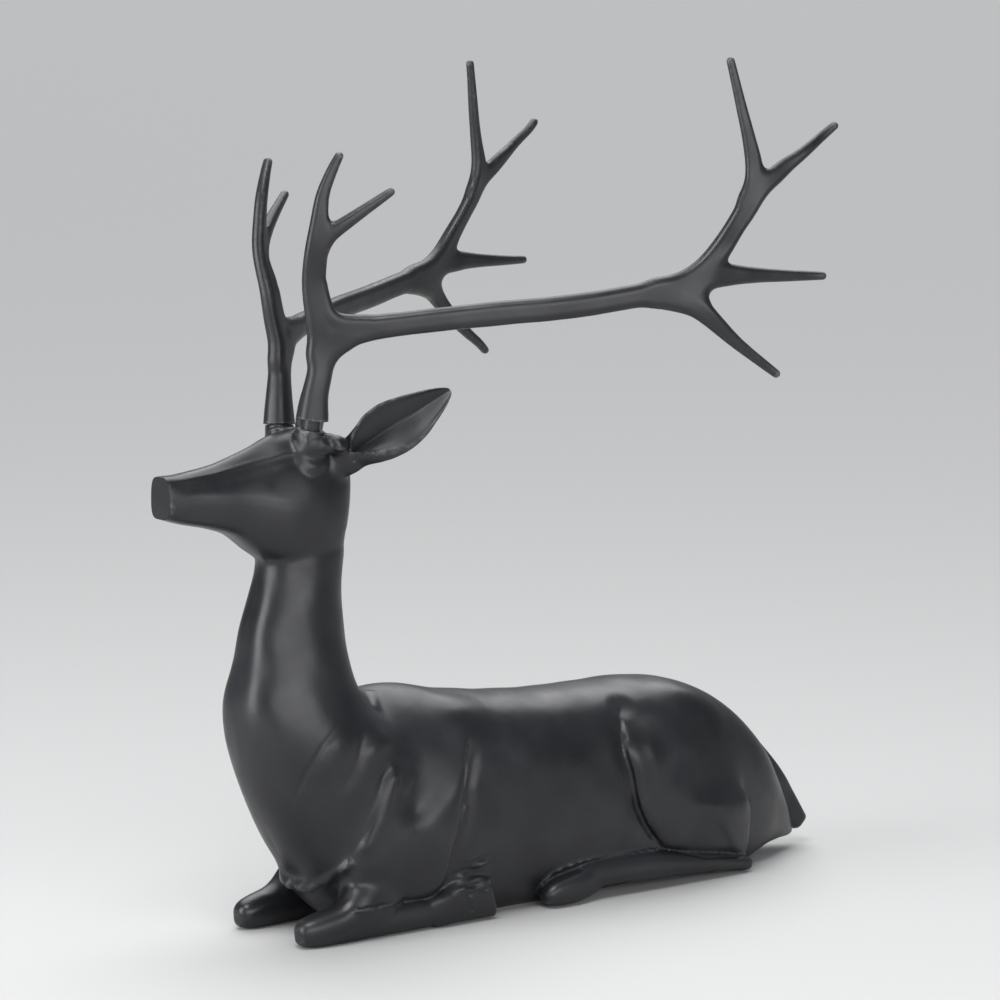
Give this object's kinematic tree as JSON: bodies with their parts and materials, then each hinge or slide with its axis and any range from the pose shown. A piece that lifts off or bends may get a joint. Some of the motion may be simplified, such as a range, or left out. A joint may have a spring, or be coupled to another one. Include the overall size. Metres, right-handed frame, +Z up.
{
  "type": "seated stag sculpture",
  "caption": "Stylised lying stag statue with smooth cast body, folded legs, upright neck and separate plug-in branching antlers.",
  "frame": {"origin": "on the ground under the middle of the stag's length, on its plane of symmetry", "axes": "+Z up, -X the way the stag faces, -Y the stag's left side"},
  "size_m": [0.6876, 0.3902, 0.7019],
  "materials": {
    "charcoal_paint": "satin charcoal-black paint over cast metal"
  },
  "bodies": {
    "root": {"deer_body": "charcoal_paint", "antler_left": "charcoal_paint", "antler_right": "charcoal_paint"}
  },
  "joints": []
}
